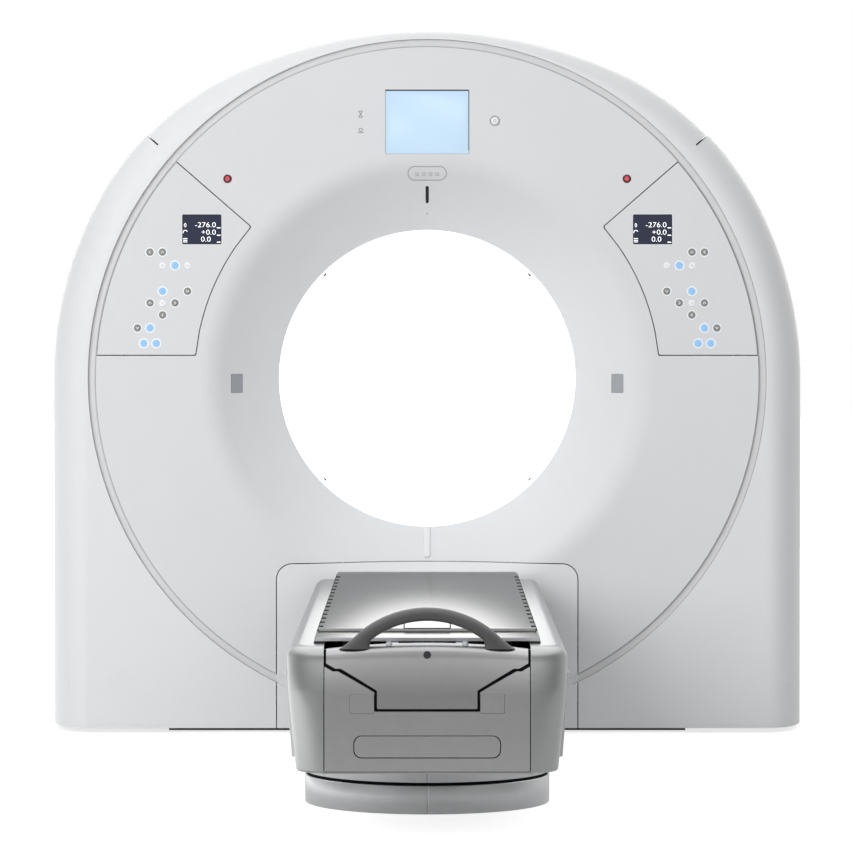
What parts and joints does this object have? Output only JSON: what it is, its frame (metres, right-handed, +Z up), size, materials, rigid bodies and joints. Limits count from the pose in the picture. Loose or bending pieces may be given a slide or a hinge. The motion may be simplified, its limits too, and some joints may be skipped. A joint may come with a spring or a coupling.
{
  "type": "ct scanner",
  "caption": "Whole-body CT scanner: ring gantry with a wide tunnel, control panels and a turning rotor, and a couch that lifts and slides its table into the tunnel.",
  "frame": {"origin": "on the floor under the centre of the tunnel, halfway through its depth", "axes": "+Z up, +Y from the couch into the tunnel along its axis, +X to the right of someone who stands at the couch's free end and faces the gantry"},
  "size_m": [2.274, 3.5905, 2.115],
  "materials": {
    "gantry_cover": "satin paint over glass-reinforced plastic",
    "disc_cover": "satin paint over glass-reinforced plastic",
    "bore_plastic": "translucent white liner",
    "trim_metal": "satin anodised",
    "panel_plastic": "satin moulded",
    "key_rubber": "smooth silicone",
    "screen_glass": "gloss",
    "main_screen": "gloss",
    "window_plastic": "gloss",
    "bar_plastic": "gloss",
    "bezel_plastic": "satin",
    "stop_red": "gloss",
    "start_white": "gloss",
    "frame_steel": "powder coat",
    "bearing_steel": "ground",
    "rotor_metal": "machined",
    "slip_metal": "polished tracks",
    "unit_metal": "powder coat",
    "couch_paint": "metallic paint, satin",
    "strip_plastic": "satin",
    "skirt_plastic": "satin",
    "table_composite": "satin laminate",
    "overlay_composite": "brushed",
    "handle_metal": "satin",
    "button_dark": "satin"
  },
  "bodies": {
    "gantry": {"gantry_base": "frame_steel", "gantry_upright": "frame_steel", "bearing_outer_ring": "bearing_steel", "drive_stator": "rotor_metal", "brush_block": "unit_metal", "front_cover": "disc_cover", "rear_cover": "disc_cover", "top_cover": "gantry_cover", "left_side_cover": "gantry_cover", "right_side_cover": "gantry_cover", "front_trim_ring": "trim_metal", "rear_trim_ring": "trim_metal", "bore_liner": "bore_plastic", "docking_panel": "gantry_cover", "rear_service_panel": "gantry_cover", "left_control_panel": "panel_plastic", "right_control_panel": "panel_plastic", "left_keypad": "key_rubber", "right_keypad": "key_rubber", "left_display": "screen_glass", "right_display": "screen_glass", "main_display": "main_screen", "indicator_window": "window_plastic", "laser_windows": "window_plastic", "guide_bar": "bar_plastic", "button_bezels": "bezel_plastic", "couch_foot_plate": "frame_steel", "couch_foot_ring": "skirt_plastic", "inner_skirt": "skirt_plastic"},
    "rotor": {"rotor_drum": "rotor_metal", "bearing_inner_ring": "bearing_steel", "slip_ring": "slip_metal", "xray_tube": "unit_metal", "collimator": "unit_metal", "detector_array": "unit_metal", "hv_generator": "unit_metal", "cooling_unit": "unit_metal"},
    "left_stop": {"left_stop_button": "stop_red"},
    "right_stop": {"right_stop_button": "stop_red"},
    "start_key": {"start_button": "start_white"},
    "column_stage": {"middle_column": "frame_steel"},
    "skirt_stage_mid": {"middle_skirt": "skirt_plastic"},
    "skirt_stage_outer": {"outer_skirt": "skirt_plastic"},
    "couch": {"couch_chassis": "frame_steel", "inner_column": "frame_steel", "left_couch_cover": "couch_paint", "right_couch_cover": "couch_paint", "couch_front_panel": "couch_paint", "access_panel": "couch_paint", "couch_rear_panel": "couch_paint", "couch_bottom_pan": "couch_paint", "side_strips": "strip_plastic", "slide_rails": "bearing_steel"},
    "table": {"table_carriage": "rotor_metal", "table_top": "table_composite", "index_overlay": "overlay_composite", "end_cover": "couch_paint", "table_handle": "handle_metal"},
    "release_key": {"release_button": "button_dark"}
  },
  "joints": [
    {"name": "rotor_spin", "type": "hinge", "parent": "gantry", "child": "rotor", "pos_m": [0, 0, 1.062], "axis": [0, 1, 0], "continuous": true},
    {"name": "couch_lift", "type": "slide", "parent": "gantry", "child": "couch", "axis": [0, 0, 1], "range_m": [0, 0.5]},
    {"name": "column_follow", "type": "slide", "parent": "gantry", "child": "column_stage", "axis": [0, 0, 1], "range_m": [0, 0.25]},
    {"name": "skirt_mid_follow", "type": "slide", "parent": "gantry", "child": "skirt_stage_mid", "axis": [0, 0, 1], "range_m": [0, 0.21]},
    {"name": "skirt_outer_follow", "type": "slide", "parent": "gantry", "child": "skirt_stage_outer", "axis": [0, 0, 1], "range_m": [0, 0.39]},
    {"name": "table_slide", "type": "slide", "parent": "couch", "child": "table", "axis": [0, 1, 0], "range_m": [0, 1.75]},
    {"name": "left_stop_press", "type": "slide", "parent": "gantry", "child": "left_stop", "axis": [0, 1, 0], "range_m": [0, 0.004], "stiffness_N_per_m": 1500},
    {"name": "right_stop_press", "type": "slide", "parent": "gantry", "child": "right_stop", "axis": [0, 1, 0], "range_m": [0, 0.004], "stiffness_N_per_m": 1500},
    {"name": "start_press", "type": "slide", "parent": "gantry", "child": "start_key", "axis": [0, 1, 0], "range_m": [0, 0.002], "stiffness_N_per_m": 1500},
    {"name": "release_press", "type": "slide", "parent": "table", "child": "release_key", "axis": [0, 1, 0], "range_m": [0, 0.003], "stiffness_N_per_m": 1500}
  ],
  "couplings": [
    {"joint": "column_follow", "follows": "couch_lift", "ratio": 0.5},
    {"joint": "skirt_mid_follow", "follows": "couch_lift", "ratio": 0.42},
    {"joint": "skirt_outer_follow", "follows": "couch_lift", "ratio": 0.78},
    {"joint": "table_slide", "follows": "couch_lift", "ratio": 1.08}
  ]
}
